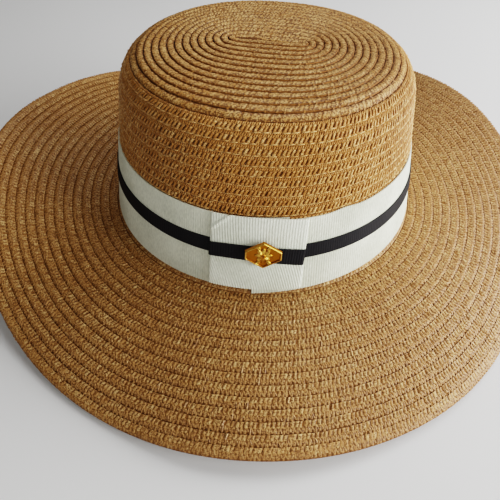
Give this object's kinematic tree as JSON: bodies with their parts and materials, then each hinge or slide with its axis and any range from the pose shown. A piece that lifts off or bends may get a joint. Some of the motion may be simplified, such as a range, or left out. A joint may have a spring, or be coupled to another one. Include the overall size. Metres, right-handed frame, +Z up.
{
  "type": "straw boater hat",
  "caption": "Flat-topped straw boater with a wide waved brim, sewn from rows of braid, with a striped ribbon band, a folded ribbon tab and a small gilt badge.",
  "frame": {"origin": "on the surface that the hat rests on, under the middle of its box", "axes": "+Z up through the crown's tip; the tab and badge face -Y; +X to the right of someone who looks at the badge"},
  "size_m": [0.3382, 0.3364, 0.1199],
  "materials": {
    "straw": "dry braided paper straw, tan with darker gaps",
    "ribbon": "off-white ribbed ribbon, slight sheen",
    "stripe": "black ribbed ribbon, slight sheen",
    "gilt": "bright gilt cast relief, darker in the hollows"
  },
  "bodies": {
    "root": {"crown_tip": "straw", "crown_side": "straw", "brim": "straw", "band_ribbon": "ribbon", "band_stripe": "stripe", "tab_ribbon": "ribbon", "tab_stripe": "stripe", "badge": "gilt"}
  },
  "joints": []
}
